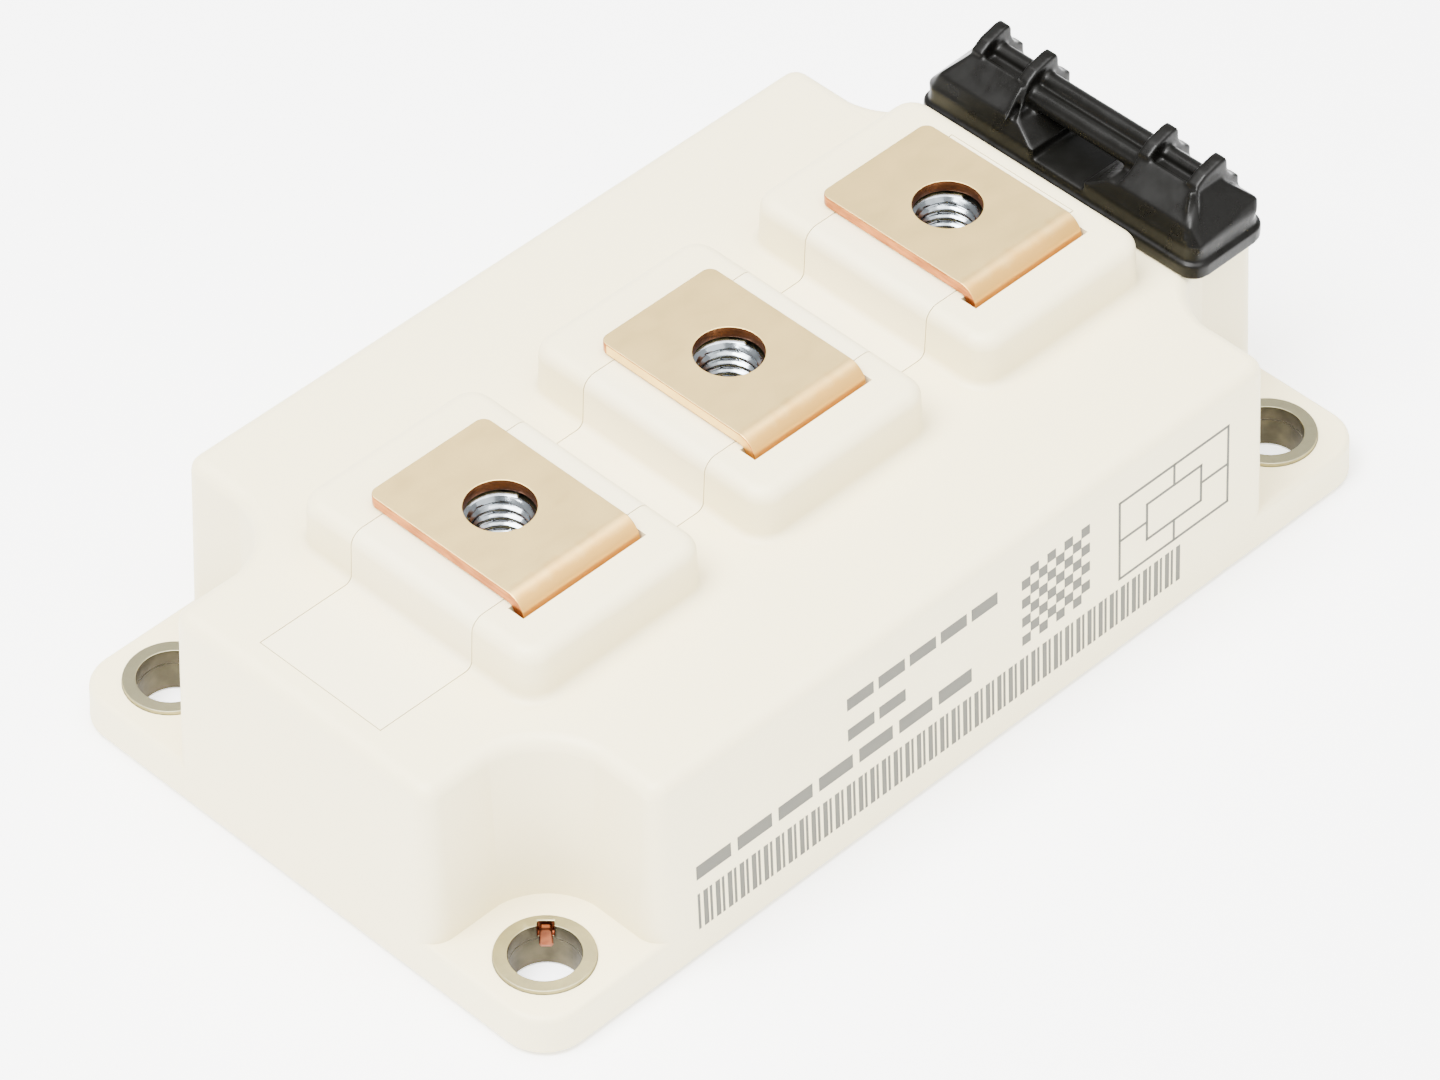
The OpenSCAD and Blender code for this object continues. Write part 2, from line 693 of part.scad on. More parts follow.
// Rod from fin to fin, and a lower rod on a plate that bridges the window
module bridge() {
    translate([1.2, fin_out, cap_h - 0.5]) rotate([90, 0, 0]) cylinder(r = rod_r, h = 2 * fin_out);
    translate([-0.4, fin_in, cap_h - 1.3]) rotate([90, 0, 0]) cylinder(r = rod_r, h = 2 * fin_in);
    block([-1.5, -fin_in, front_z - 0.1], [1.9, fin_in, cap_h - 1.2]);
}

module cap_body() {
    linear_extrude(skirt_t) plate_2d(cap_w, cap_l, corner + 0.4);
    difference() {
        linear_extrude(side_z) plate_2d(2 * body_w, 2 * body_l, corner);
        block([-cap_w, -window, floor_z], [body_w - 1, window, cap_h]);
        block([0, 1 - window, floor_z], [cap_w, window - 1, cap_h]);
    }
    for (m = [0, 1]) mirror([0, m, 0]) {
        hump();
        for (y = [fin_in, fin_out]) translate([0, y + fin_t / 2, 0]) rotate([90, 0, 0])
            linear_extrude(fin_t) fin_side();
    }
    bridge();
}

module shorting_cap() {
    groove_l = tab_pitch - fin_t;
    color("#2c2c2a") translate([cap_x, tab_shift, shelf_z]) difference() {
        cap_body();
        // groove in front of the rod, between the two fins of a hump
        for (side = [-1, 1]) translate([0, side * (fin_in + fin_out) / 2, 0])
            block([crest_x + 0.5, -groove_l / 2, cap_h - 0.6], [0.4, groove_l / 2, cap_h + 1]);
        for (y = tab_places()) translate([tab_x - cap_x, y - tab_shift, 0])
            block([-tab_t / 2 - press, -tab_w / 2 - press, -1],
                  [tab_t / 2 + press, tab_w / 2 + press, tab_h + 2 * press]);
    }
}

base_plate();
housing();
nut_carrier();
terminal_nuts();
terminal_phase();
terminal_negative();
terminal_positive();
mounting_bushings();
substrate_low();
substrate_high();
back_copper_low();
back_copper_high();
tracks_low();
tracks_high();
igbt_chips_low();
igbt_chips_high();
diode_chips_low();
diode_chips_high();
bond_wires_low();
bond_wires_high();
link_wires();
gate_tab_low();
emitter_tab_low();
gate_tab_high();
emitter_tab_high();
silicone_gel();
shorting_cap();
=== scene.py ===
import math

import bpy
import bmesh
from mathutils import Matrix, Vector


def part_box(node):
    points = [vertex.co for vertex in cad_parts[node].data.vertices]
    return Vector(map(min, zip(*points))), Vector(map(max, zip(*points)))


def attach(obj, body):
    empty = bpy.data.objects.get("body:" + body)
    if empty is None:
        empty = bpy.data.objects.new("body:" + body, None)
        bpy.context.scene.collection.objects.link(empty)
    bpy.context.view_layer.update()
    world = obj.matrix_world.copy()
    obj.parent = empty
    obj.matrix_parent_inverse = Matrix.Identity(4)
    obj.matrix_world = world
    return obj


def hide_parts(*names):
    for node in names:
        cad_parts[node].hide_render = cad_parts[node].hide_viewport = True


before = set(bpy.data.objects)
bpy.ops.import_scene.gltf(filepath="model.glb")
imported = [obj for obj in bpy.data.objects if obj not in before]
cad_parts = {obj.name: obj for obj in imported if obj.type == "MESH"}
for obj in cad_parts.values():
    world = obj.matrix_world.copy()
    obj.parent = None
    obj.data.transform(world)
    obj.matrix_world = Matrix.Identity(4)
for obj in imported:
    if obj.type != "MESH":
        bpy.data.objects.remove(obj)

bl_info = {
    "name": "Power Module Looks",
    "version": (1, 0, 0),
    "blender": (4, 0, 0),
    "location": "View3D > Sidebar > Module",
    "description": "Dresses the packed power transistor module and sets up its studio",
    "category": "Object",
}

MM = 0.001
WELD = 0.002 * MM

# The part of a noise's range that holds nearly all of its values
NOISE_LOW, NOISE_HIGH = 0.3, 0.7
# Along Y, in metres: plating, then bare copper over the terminal's bend
PLATED_Y, COPPER_Y = -0.0072, -0.0088
# How far the edge of the plating wanders, in metres
PLATING_WANDER = 0.0012
# How much of a face's direction must be along an axis for it to count as a side
SIDE_X, SIDE_Y, SIDE_HOLE, UPRIGHT = 0.6, 0.5, 0.8, 0.5
# Sheared sides are coloured down to this far below the strip, the hole within this radius
SHEAR_DROP, PUNCH_REACH = 2 * MM, 3.4 * MM
# Of half a thread's pitch: the flat crest, then the sloping flank
CREST, FLANK = 0.12, 0.7
# How much further out a nut's chamfer is for each unit down
CHAMFER_SLOPE = 5 / 3
# Slack when faces are sorted by their distance from a bushing's axis or rim
BORE_SLACK, MARK_SLACK, RIM_SLACK = 0.05 * MM, 0.02 * MM, 0.1 * MM
# From the middle of the two folds at a hump's corner to each of them, along X and along Y
FOLD_TOP, FOLD_FOOT = 0.15, 0.42
# The near long wall, in millimetres: its foot's Y and Z, how far it leans in, its height
WALL_Y, WALL_Z, WALL_LEAN, WALL_TALL = 30.7, 0.3, 0.9, 21.9
INK_THICK = 0.02
WHITE = (1.0, 1.0, 1.0, 1.0)
FLOOR_SIZE, FLOOR_DROP = 3.0, 0.0002
LAMP_DISTANCE = 0.9
# Name, the setting that holds its power, size, azimuth and elevation
LAMPS = (
    ("Key light", "key", 0.5, -95.0, 62.0),
    ("Fill light", "fill", 0.8, 10.0, 40.0),
    ("Top light", "top", 0.9, -40.0, 88.0),
)


# ---- materials -----------------------------------------------------------


class Shader:
    """A Principled material whose nodes are added one call at a time."""

    def __init__(self, name, color, roughness, metallic=0.0, **values):
        self.material = bpy.data.materials.new(name)
        self.material.use_nodes = True
        self.tree = self.material.node_tree
        self.bsdf = self.tree.nodes["Principled BSDF"]
        self.bsdf.inputs["Base Color"].default_value = (*color, 1.0)
        self.bsdf.inputs["Roughness"].default_value = roughness
        self.bsdf.inputs["Metallic"].default_value = metallic
        for key, value in values.items():
            self.bsdf.inputs[key.replace("_", " ")].default_value = value
        self.coords = self.tree.nodes.new("ShaderNodeTexCoord").outputs["Object"]

    def link(self, output, target):
        self.tree.links.new(output, target)

    def noise(self, scale, detail=2.0, stretch=(1.0, 1.0, 1.0)):
        """Noise in object space; scale is in features for each metre."""
        mapping = self.tree.nodes.new("ShaderNodeMapping")
        mapping.inputs["Scale"].default_value = stretch
        self.link(self.coords, mapping.inputs["Vector"])
        node = self.tree.nodes.new("ShaderNodeTexNoise")
        node.inputs["Scale"].default_value = scale
        node.inputs["Detail"].default_value = detail
        self.link(mapping.outputs["Vector"], node.inputs["Vector"])
        return node.outputs["Fac"]

    def ramp(self, factor, stops):
        """Colour ramp between two (position, colour) stops."""
        node = self.tree.nodes.new("ShaderNodeValToRGB")
        elements = node.color_ramp.elements
        for element, (position, color) in zip(elements, stops):
            element.position = position
            element.color = (*color, 1.0)
        self.link(factor, node.inputs["Fac"])
        return node.outputs["Color"]

    def spread(self, factor, low, high):
        """Maps a noise onto low to high."""
        node = self.tree.nodes.new("ShaderNodeMapRange")
        node.inputs["From Min"].default_value = NOISE_LOW
        node.inputs["From Max"].default_value = NOISE_HIGH
        node.inputs["To Min"].default_value = low
        node.inputs["To Max"].default_value = high
        self.link(factor, node.inputs["Value"])
        return node.outputs["Result"]

    def bump(self, height, strength, distance):
        node = self.tree.nodes.new("ShaderNodeBump")
        node.inputs["Strength"].default_value = strength
        node.inputs["Distance"].default_value = distance
        self.link(height, node.inputs["Height"])
        self.link(node.outputs["Normal"], self.bsdf.inputs["Normal"])


def moulded_plastic(name, color):
    """Warm white moulding with the faint unevenness of a mould's surface."""
    s = Shader(name, color, 0.42, Specular_IOR_Level=0.45)
    s.bump(s.noise(2200, 3), 0.06, 0.0002)
    s.link(s.spread(s.noise(160), 0.38, 0.48), s.bsdf.inputs["Roughness"])
    return s.material


def satin_metal(name, color, dark, roughness, streak=(1.0, 1.0, 1.0)):
    """Plated metal with soft blotches and rolling streaks."""
    s = Shader(name, color, roughness, 1.0)
    blotch = s.noise(420, 3, streak)
    s.link(s.ramp(blotch, [(0.35, dark), (0.65, color)]), s.bsdf.inputs["Base Color"])
    s.link(s.spread(blotch, roughness + 0.08, roughness - 0.04), s.bsdf.inputs["Roughness"])
    s.bump(s.noise(3000, 2, streak), 0.05, 0.0001)
    return s.material


def tinned_strip(name, color, bend_color):
    """Tinned strip whose plating thins to copper over the bend, which lies at low Y."""
    s = Shader(name, color, 0.42, 1.0)
    blotch = s.noise(300, 4, (1.0, 1.6, 1.0))
    plated = s.ramp(blotch, [(0.3, tuple(c * 0.9 for c in color)), (0.7, color)])
    split = s.tree.nodes.new("ShaderNodeSeparateXYZ")
    s.link(s.coords, split.inputs["Vector"])
    edge = s.tree.nodes.new("ShaderNodeMath")
    edge.operation = "MULTIPLY_ADD"
    edge.inputs[1].default_value = PLATING_WANDER
    s.link(s.noise(900, 3, (1.0, 0.3, 1.0)), edge.inputs[0])
    s.link(split.outputs["Y"], edge.inputs[2])
    fade = s.tree.nodes.new("ShaderNodeMapRange")
    fade.inputs["From Min"].default_value = PLATED_Y
    fade.inputs["From Max"].default_value = COPPER_Y
    s.link(edge.outputs["Value"], fade.inputs["Value"])
    mix = s.tree.nodes.new("ShaderNodeMix")
    mix.data_type = "RGBA"
    s.link(fade.outputs["Result"], mix.inputs["Factor"])
    s.link(plated, mix.inputs["A"])
    mix.inputs["B"].default_value = (*bend_color, 1.0)
    s.link(mix.outputs["Result"], s.bsdf.inputs["Base Color"])
    s.link(s.spread(blotch, 0.46, 0.38), s.bsdf.inputs["Roughness"])
    s.bump(s.noise(2600, 2, (1.0, 5.0, 1.0)), 0.04, 0.0001)
    return s.material


def cap_rubber(name):
    """Black conductive rubber with a soft sheen."""
    s = Shader(name, (0.0025, 0.0024, 0.002), 0.3, Specular_IOR_Level=0.12)
    s.bump(s.noise(1500, 2), 0.05, 0.0002)
    s.link(s.spread(s.noise(500, 3), 0.24, 0.4), s.bsdf.inputs["Roughness"])
    return s.material


def plain(name, color, roughness, metallic=0.0, **values):
    return Shader(name, color, roughness, metallic, **values).material


FINISHES = {}


def finishes():
    """Every finish of the module, by its short name, made once."""
    if not FINISHES:
        FINISHES.update(make_materials())
    return FINISHES


def make_materials():
    """All finishes; their colours are deeper than they look under the studio's lights."""
    return {
        "housing": moulded_plastic("Housing plastic", (0.82, 0.73, 0.46)),
        "carrier": moulded_plastic("Carrier plastic", (0.83, 0.745, 0.5)),
        "ink": plain("Marking ink", (0.062, 0.059, 0.042), 0.6),
        "terminal": tinned_strip("Tinned strip", (0.9, 0.66, 0.26), (0.72, 0.4, 0.09)),
        "copper_edge": satin_metal(
            "Copper edge", (0.52, 0.2, 0.06), (0.34, 0.115, 0.035), 0.36, (1, 1, 6)),
        "copper_hole": satin_metal(
            "Punched hole wall", (0.3, 0.11, 0.04), (0.16, 0.06, 0.025), 0.42),
        "crimp": satin_metal("Crimp copper", (0.34, 0.11, 0.045), (0.13, 0.036, 0.015), 0.34),
        "zinc": satin_metal("Zinc plate", (0.28, 0.31, 0.335), (0.13, 0.145, 0.155), 0.14),
        "bushing": satin_metal("Bushing plate", (0.33, 0.305, 0.19), (0.26, 0.24, 0.15), 0.34),
        # bore: painted shade, a darkened copy of the bushing's colour, for the walls inside the
        # fixing holes
        "bore": satin_metal(
            "Bore of a fixing hole", (0.095, 0.08, 0.047), (0.062, 0.053, 0.032), 0.5),
        "nickel": satin_metal("Nickel plate", (0.5, 0.47, 0.4), (0.44, 0.41, 0.34), 0.36),
        "tab": satin_metal("Tinned tab", (0.5, 0.42, 0.26), (0.42, 0.35, 0.21), 0.28),
        "ceramic": plain("Ceramic", (0.8, 0.79, 0.76), 0.55),
        "copper": satin_metal("Bare copper", (0.76, 0.42, 0.26), (0.66, 0.35, 0.21), 0.38),
        "silicon": satin_metal("Chip metal", (0.4, 0.42, 0.46), (0.34, 0.36, 0.4), 0.3),
        "wire": plain("Aluminium wire", (0.82, 0.82, 0.83), 0.3, 1.0),
        "gel": plain("Clear gel", (0.9, 0.92, 0.9), 0.08, Transmission_Weight=0.9, IOR=1.41),
        "cap": cap_rubber("Cap rubber"),
    }


NODE_FINISH = {
    "housing": "housing",
    "nut_carrier": "carrier",
    "substrate_low": "ceramic",
    "substrate_high": "ceramic",
    "back_copper_low": "copper",
    "back_copper_high": "copper",
    "tracks_low": "copper",
    "tracks_high": "copper",
    "igbt_chips_low": "silicon",
    "igbt_chips_high": "silicon",
    "diode_chips_low": "silicon",
    "diode_chips_high": "silicon",
    "bond_wires_low": "wire",
    "bond_wires_high": "wire",
    "link_wires": "wire",
    "gate_tab_low": "tab",
    "emitter_tab_low": "tab",
    "gate_tab_high": "tab",
    "emitter_tab_high": "tab",
    "silicone_gel": "gel",
}
# Top and foot of the fold at each hump's corner, in millimetres from the cap's middle and foot
CAP_FOLDS = (
    ((-1.6, -14.0, 7.0), (-4.1, -16.0, 3.7)),
    ((-1.6, 7.1, 7.0), (-4.0, 6.4, 4.7)),
)
TERMINALS = ("terminal_phase", "terminal_negative", "terminal_positive")


def dress(obj, *materials):
    """Gives obj these material slots, and nothing else."""
    obj.data.materials.clear()
    for material in materials:
        obj.data.materials.append(material)


def smooth_by_angle(obj, degrees):
    """Smooth shading with sharp edges where faces meet at more than the angle."""
    mesh = obj.data
    bm = bmesh.new()
    bm.from_mesh(mesh)
    for face in bm.faces:
        face.smooth = True
    limit = math.radians(degrees)
    for edge in bm.edges:
        edge.smooth = edge.is_manifold and edge.calc_face_angle(0) < limit
    bm.to_mesh(mesh)
    bm.free()


def place(name, mesh, *materials):
    """A finished piece at the origin with this mesh and these finishes."""
    obj = bpy.data.objects.new(name, mesh)
    bpy.context.scene.collection.objects.link(obj)
    dress(obj, *materials)
    return obj


def mesh_object(name, bm, *materials):
    """A finished piece at the origin from a bmesh in metres."""
    mesh = bpy.data.meshes.new(name)
    bm.to_mesh(mesh)
    bm.free()
    return place(name, mesh, *materials)


def settle(obj):
    """Applies every modifier of obj to its mesh."""
    bpy.context.view_layer.update()
    graph = bpy.context.evaluated_depsgraph_get()
    mesh = bpy.data.meshes.new_from_object(obj.evaluated_get(graph), depsgraph=graph)
    obj.modifiers.clear()
    obj.data = mesh


def belongs(obj, body, slot, *nodes):
    """obj moves with the body and stands for the nodes, which it hides; the slot is not used.
    """
    if nodes:
        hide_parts(*nodes)
    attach(obj, body)


def copy_of(name, node, *materials):
    """A joined-up copy of a node's mesh, as a new piece."""
    bm = bmesh.new()
    bm.from_mesh(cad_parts[node].data)
    bmesh.ops.remove_doubles(bm, verts=bm.verts, dist=WELD)
    return mesh_object(name, bm, *materials)


def eased_copy(name, node, radius, *materials):
    """A copy of a node whose sharp edges are eased by a small radius."""
    obj = copy_of(name, node, *materials)
    bm = bmesh.new()
    bm.from_mesh(obj.data)
    bmesh.ops.dissolve_limit(
        bm, angle_limit=math.radians(1.0), verts=bm.verts, edges=bm.edges, delimit=set())
    bm.to_mesh(obj.data)
    bm.free()
    bevel = obj.modifiers.new("Eased edges", "BEVEL")
    bevel.width = radius
    bevel.segments = 2
    bevel.limit_method = "ANGLE"
    bevel.angle_limit = math.radians(40.0)
    bevel.use_clamp_overlap = True
    settle(obj)
    smooth_by_angle(obj, 35.0)
    even = obj.modifiers.new("Even shading", "WEIGHTED_NORMAL")
    even.weight = 100
    even.keep_sharp = True
    settle(obj)
    return obj


# ---- repeats -------------------------------------------------------------


def node_tree(name, sockets):
    """A new Geometry Nodes tree with named inputs; gives it, its inputs and its outputs."""
    tree = bpy.data.node_groups.new(name, "GeometryNodeTree")
    tree.interface.new_socket("Piece", in_out="INPUT", socket_type="NodeSocketGeometry")
    for label, kind in sockets:
        tree.interface.new_socket(label, in_out="INPUT", socket_type="NodeSocket" + kind)
    tree.interface.new_socket("Geometry", in_out="OUTPUT", socket_type="NodeSocketGeometry")
    inputs = tree.nodes.new("NodeGroupInput").outputs
    outputs = tree.nodes.new("NodeGroupOutput").inputs
    return tree, inputs, outputs


def finish_tree(tree, points, inputs, outputs):
    """Sets the piece on every point, makes it real and gives it its material.

    Gives the node that sets the piece, so that a caller can also turn it.
    """
    instances = tree.nodes.new("GeometryNodeInstanceOnPoints")
    real = tree.nodes.new("GeometryNodeRealizeInstances")
    material = tree.nodes.new("GeometryNodeSetMaterial")
    tree.links.new(points, instances.inputs["Points"])
    tree.links.new(inputs["Piece"], instances.inputs["Instance"])
    tree.links.new(instances.outputs["Instances"], real.inputs["Geometry"])
    tree.links.new(real.outputs["Geometry"], material.inputs["Geometry"])
    tree.links.new(inputs["Material"], material.inputs["Material"])
    tree.links.new(material.outputs["Geometry"], outputs["Geometry"])
    return instances


def row_tree():
    """Count copies of a piece, the first at Start and each a Step further."""
    tree, inputs, outputs = node_tree("Row of pieces", [
        ("Count", "Int"), ("Start", "Vector"), ("Step", "Vector"), ("Material", "Material")])
    line = tree.nodes.new("GeometryNodeMeshLine")
    line.mode = "OFFSET"
    tree.links.new(inputs["Count"], line.inputs["Count"])
    tree.links.new(inputs["Start"], line.inputs["Start Location"])
    tree.links.new(inputs["Step"], line.inputs["Offset"])
    finish_tree(tree, line.outputs["Mesh"], inputs, outputs)
    return tree


def repeat(obj, tree, **values):
    """Runs a repeat tree on obj with these inputs and keeps the result as a plain mesh."""
    modifier = obj.modifiers.new("Repeat", "NODES")
    modifier.node_group = tree
    for item in tree.interface.items_tree:
        if item.in_out == "INPUT" and item.name in values:
            modifier[item.identifier] = values[item.name]
    settle(obj)


# ---- pieces --------------------------------------------------------------


def dress_nodes(finish):
    """One finish on each solid that has a single one."""
    for node, key in NODE_FINISH.items():
        dress(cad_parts[node], finish[key])


def hole_at(point, hole_x, hole_y):
    """The middle of the fixing hole that is nearest to a point."""
    return Vector((math.copysign(hole_x, point.x), math.copysign(hole_y, point.y)))


def dress_base_plate(finish, settings):
    """Nickel on the plate, and painted shade, the bushing's colour darkened, on the upright
    walls of its fixing holes.
    """
    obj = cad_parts["base_plate"]
    # Slot 1 is the painted shade of the fixing holes' walls
    dress(obj, finish["nickel"], finish["bore"])
    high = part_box("mounting_bushings")[1]
    hole_x, hole_y = high.x - settings.bushing_outer, high.y - settings.bushing_outer
    for face in obj.data.polygons:
        away = face.center.xy - hole_at(face.center, hole_x, hole_y)
        # Upright faces inside a fixing hole take the painted shade
        if abs(face.normal.z) < UPRIGHT and away.length < settings.bushing_outer:
            face.material_index = 1


def build_terminals(finish, settings):
    """Strips with eased edges, copper on their sheared sides and brown in the punched hole."""
    for node in TERMINALS:
        obj = eased_copy(
            node + "_strip", node, settings.strip_ease,
            finish["terminal"], finish["copper_edge"], finish["copper_hole"])
        low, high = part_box(node)
        axis_x = (low.x + high.x) / 2
        top = high.z - settings.strip_thickness
        for face in obj.data.polygons:
            centre, normal = face.center, face.normal
            if centre.z < top - SHEAR_DROP:
                continue
            in_hole = math.hypot(centre.x - axis_x, centre.y) < PUNCH_REACH
            if in_hole and abs(normal.z) < SIDE_HOLE:
                face.material_index = 2
            elif abs(normal.x) > SIDE_X or normal.y > SIDE_Y:
                face.material_index = 1
        belongs(obj, "module", "terminal_metal", node)


def hex_reach(angle, apothem):
    """From the axis to a hexagon's side at an angle; corners stand at 30, 90, 150 degrees."""
    sixth = math.pi / 3
    return apothem / math.cos((angle + sixth / 2) % sixth - sixth / 2)


def thread_reach(angle, height, settings):
    """Radius of the threaded bore at an angle and height, opened at both mouths."""
    phase = (height / settings.thread_pitch - angle / math.tau) % 1.0
    flank = min(max((abs(2 * phase - 1) - CREST) / FLANK, 0.0), 1.0)
    core = settings.nut_core / 2
    root = core + settings.thread_depth
    mouth = min(height, settings.nut_height - height)
    return max(core + flank * settings.thread_depth, root - mouth)


def nut_mesh(settings):
    """One chamfered hexagon nut standing on z = 0 with a real thread in its bore.

    Its rings of points run up the bore and down the outside, and close on themselves.
    """
    steps, levels = 72, 60
    angles = [math.tau * i / steps for i in range(steps)]
    tall = settings.nut_height
    apothem = settings.nut_flats / 2
    chamfer = settings.nut_chamfer
    rings = []
    for level in range(levels + 1):
        z = tall * level / levels
        rings.append([(thread_reach(angle, z, settings), z) for angle in angles])
    for z in (tall, tall - chamfer / 2, tall - chamfer, chamfer, chamfer / 2, 0.0):
        cone = apothem + min(z, tall - z) * CHAMFER_SLOPE
        rings.append([(min(hex_reach(angle, apothem), cone), z) for angle in angles])
    bm = bmesh.new()
    rows = [[bm.verts.new((r * math.cos(angle), r * math.sin(angle), z))
             for angle, (r, z) in zip(angles, ring)] for ring in rings]
    for one, two in zip(rows, rows[1:] + rows[:1]):
        for i in range(steps):
            j = (i + 1) % steps
            bm.faces.new((one[i], two[i], two[j], one[j]))
    bmesh.ops.recalc_face_normals(bm, faces=bm.faces)
    return bm


def build_nuts(finish, settings):
    """The three nuts, in a row under the terminals' holes."""
    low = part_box("terminal_nuts")[0]
    obj = mesh_object("threaded_nuts", nut_mesh(settings), finish["zinc"])
    pitch = settings.terminal_pitch
    repeat(obj, row_tree(), Count=len(TERMINALS), Start=(-pitch, 0.0, low.z),
           Step=(pitch, 0.0, 0.0), Material=finish["zinc"])
    smooth_by_angle(obj, 50.0)
    belongs(obj, "module", "zinc_steel", "terminal_nuts")


def corner_tree():
    """One copy of a piece at each fixing hole, turned diagonally inwards."""
    tree, inputs, outputs = node_tree("Piece at each corner", [
        ("Length", "Float"), ("Width", "Float"), ("Material", "Material")])
    grid = tree.nodes.new("GeometryNodeMeshGrid")
    grid.inputs["Vertices X"].default_value = 2
    grid.inputs["Vertices Y"].default_value = 2
    tree.links.new(inputs["Length"], grid.inputs["Size X"])
    tree.links.new(inputs["Width"], grid.inputs["Size Y"])
    position = tree.nodes.new("GeometryNodeInputPosition")
    size = tree.nodes.new("ShaderNodeCombineXYZ")
    tree.links.new(inputs["Length"], size.inputs["X"])
    tree.links.new(inputs["Width"], size.inputs["Y"])
    size.inputs["Z"].default_value = 1.0
    corner = tree.nodes.new("ShaderNodeVectorMath")
    corner.operation = "DIVIDE"
    tree.links.new(position.outputs["Position"], corner.inputs[0])
    tree.links.new(size.outputs["Vector"], corner.inputs[1])
    flip = tree.nodes.new("ShaderNodeVectorMath")
    flip.operation = "SCALE"
    flip.inputs["Scale"].default_value = -1.0
    tree.links.new(corner.outputs["Vector"], flip.inputs["Vector"])
    turn = tree.nodes.new("FunctionNodeAlignRotationToVector")
    turn.axis = "X"
    turn.pivot_axis = "Z"
    tree.links.new(flip.outputs["Vector"], turn.inputs["Vector"])
    instances = finish_tree(tree, grid.outputs["Mesh"], inputs, outputs)
    tree.links.new(turn.outputs["Rotation"], instances.inputs["Rotation"])
    return tree


def crimp_mesh(settings, top):
    """Tongue of copper pressed into a bushing's rim; X points to the module's middle.

    It stands proud of the bore, bites into the wall and narrows towards the bore's axis,
    all in millimetres.
    """
    bore = settings.bushing_bore / MM
    half = settings.crimp_width / MM / 2 - 0.12
    proud, bite, waist = 0.16, 0.3, 1.2
    outline = [
        (-half * 0.7, -2.6), (half * 0.7, -2.6), (half, -2.3), (half * 0.9, -0.5),
        (half * 0.55, -0.25), (-half * 0.55, -0.25), (-half * 0.9, -0.5), (-half, -2.3)]
    bm = bmesh.new()
    rings = []
    for x, shrink in ((bore + bite, 1.0), (bore - proud * 0.4, 1.0), (bore - proud, 0.78)):
        rings.append([
            bm.verts.new(Vector((x, y * shrink, top / MM + (z + waist) * shrink - waist)) * MM)
            for y, z in outline])
    bm.faces.new(rings[0])
    for one, two in zip(rings, rings[1:]):
        for i in range(len(outline)):
            j = (i + 1) % len(outline)
            bm.faces.new((one[i], one[j], two[j], two[i]))
    bm.faces.new(rings[-1][::-1])
    bmesh.ops.recalc_face_normals(bm, faces=bm.faces)
    return bm


def build_bushings(finish, settings):
    """Bushings with eased rims, a copper-lined crimp mark in each and its tongue."""
    obj = eased_copy(
        "crimped_bushings", "mounting_bushings", settings.strip_ease,
        finish["bushing"], finish["crimp"], finish["bore"])
    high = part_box("mounting_bushings")[1]
    hole_x = high.x - settings.bushing_outer
    hole_y = high.y - settings.bushing_outer
    for face in obj.data.polygons:
        centre = face.center
        hole = hole_at(centre, hole_x, hole_y)
        inward = -hole_at(centre, 1.0, 1.0).normalized()
        away = centre.xy - hole
        aside = abs(away.x * inward.y - away.y * inward.x)
        # Upright faces of the bore take the painted shade
        if away.length < settings.bushing_bore + BORE_SLACK and abs(face.normal.z) < UPRIGHT:
            face.material_index = 2
        in_mark = settings.bushing_bore + MARK_SLACK < away.length < settings.crimp_reach
        if in_mark and away.dot(inward) > 0 and aside < settings.crimp_width / 2 + BORE_SLACK:
            if high.z - settings.crimp_depth < centre.z < high.z - RIM_SLACK:
                face.material_index = 1
    belongs(obj, "module", "bushing_metal", "mounting_bushings")
    tongue = mesh_object("crimp_tongues", crimp_mesh(settings, high.z), finish["crimp"])
    repeat(tongue, corner_tree(), Length=2 * hole_x, Width=2 * hole_y, Material=finish["crimp"])
    belongs(tongue, "module", "bushing_metal")


def add_ridge(bm, start, end, radius):
    """A thin tapering ridge from start to end, in metres."""
    along = end - start
    turn = along.to_track_quat("Z", "Y").to_matrix().to_4x4()
    bmesh.ops.create_cone(
        bm, cap_ends=True, segments=12, radius1=radius, radius2=radius * 0.7,
        depth=along.length, matrix=Matrix.Translation((start + end) / 2) @ turn)


def build_cap(finish, settings):
    """The cap as moulded rubber: folds at the humps' corners and every edge softened."""
    obj = copy_of("rubber_cap", "shorting_cap", finish["cap"])
    low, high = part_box("shorting_cap")
    middle = Vector(((low.x + high.x) / 2, (low.y + high.y) / 2, low.z))
    bm = bmesh.new()
    bm.from_mesh(obj.data)
    for top, foot in CAP_FOLDS:
        for side in (-1, 1):
            spread = Vector((-side, side, 0.0))
            add_ridge(bm, middle + (Vector(top) + FOLD_TOP * spread) * MM,
                      middle + (Vector(foot) + FOLD_FOOT * spread) * MM, settings.fold_radius)
    bm.to_mesh(obj.data)
    bm.free()
    remesh = obj.modifiers.new("Even faces", "REMESH")
    remesh.mode = "VOXEL"
    remesh.voxel_size = settings.cap_grain
    soften = obj.modifiers.new("Soft edges", "SMOOTH")
    soften.factor = 0.5
    soften.iterations = settings.cap_softness
    settle(obj)
    for face in obj.data.polygons:
        face.use_smooth = True
    belongs(obj, "cap", "black_rubber", "shorting_cap")


def wall_y(z):
    """The near long wall's surface at a height; the wall leans inwards."""
    return -(WALL_Y - WALL_LEAN * (z - WALL_Z) / WALL_TALL)


